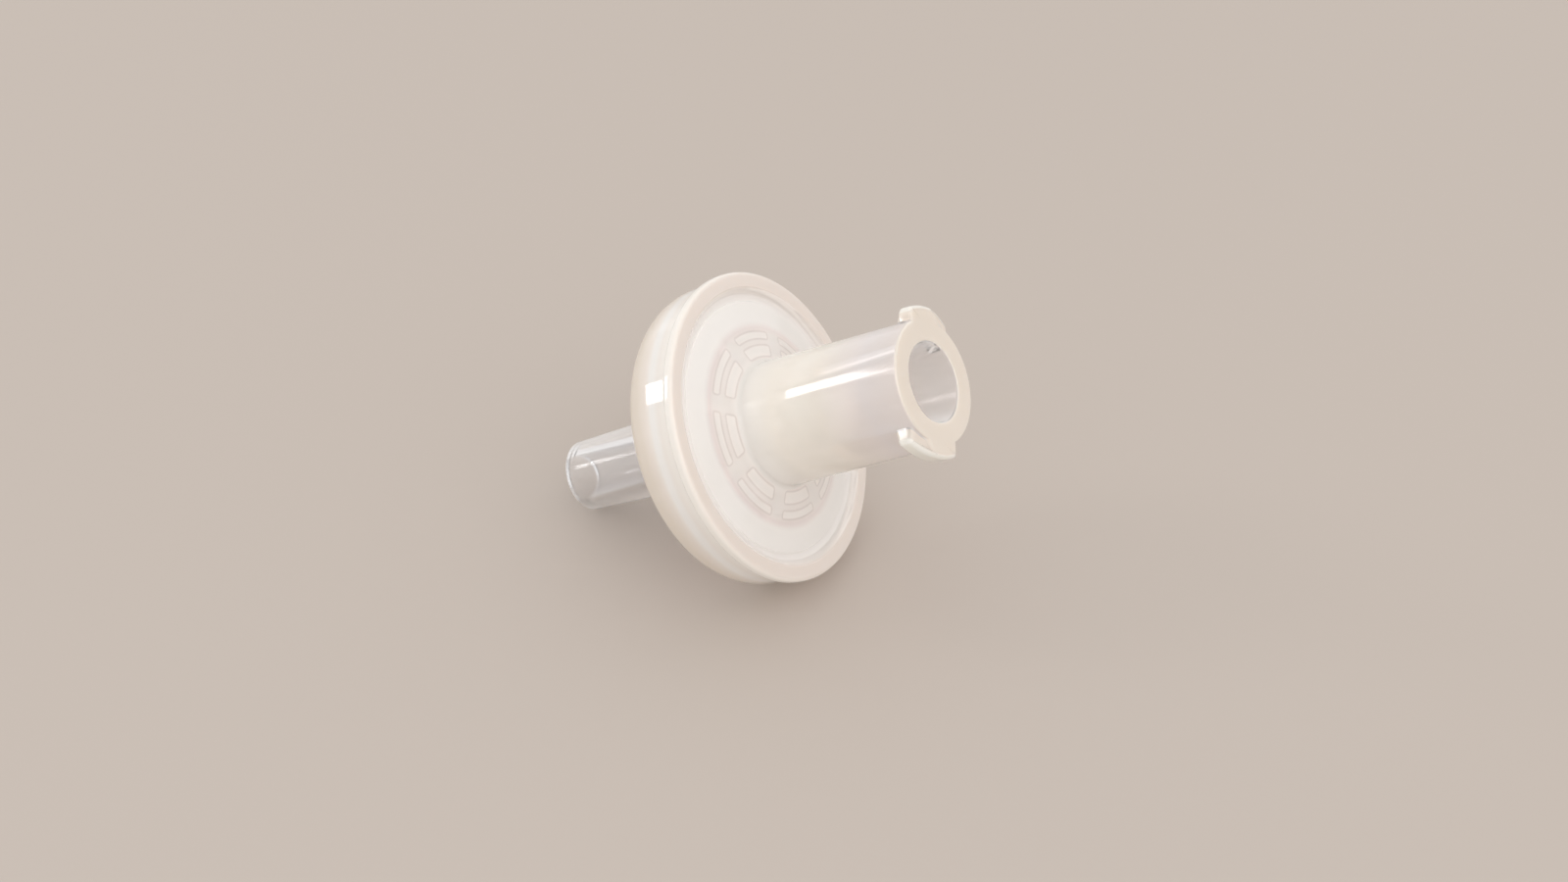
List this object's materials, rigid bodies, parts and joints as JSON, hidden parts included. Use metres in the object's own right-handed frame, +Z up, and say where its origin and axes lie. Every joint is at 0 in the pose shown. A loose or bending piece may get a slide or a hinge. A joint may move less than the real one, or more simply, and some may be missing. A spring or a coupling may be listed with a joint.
{
  "type": "syringe filter",
  "caption": "Translucent disc-shaped syringe filter with a lugged Luer socket on one side and a tapered Luer tip on the other, lying on its disc and tip.",
  "frame": {"origin": "middle of the bounding box on the surface the filter lies on", "axes": "+Z up; the filter's own axis lies in the XZ plane and rises 31 degrees from level towards its inlet, which is at +X"},
  "size_m": [0.0234, 0.017, 0.0172],
  "materials": {
    "polypropylene": "natural translucent",
    "membrane": "matte"
  },
  "bodies": {
    "root": {"inlet_housing": "polypropylene", "membrane": "membrane", "outlet_housing": "polypropylene"}
  },
  "joints": []
}
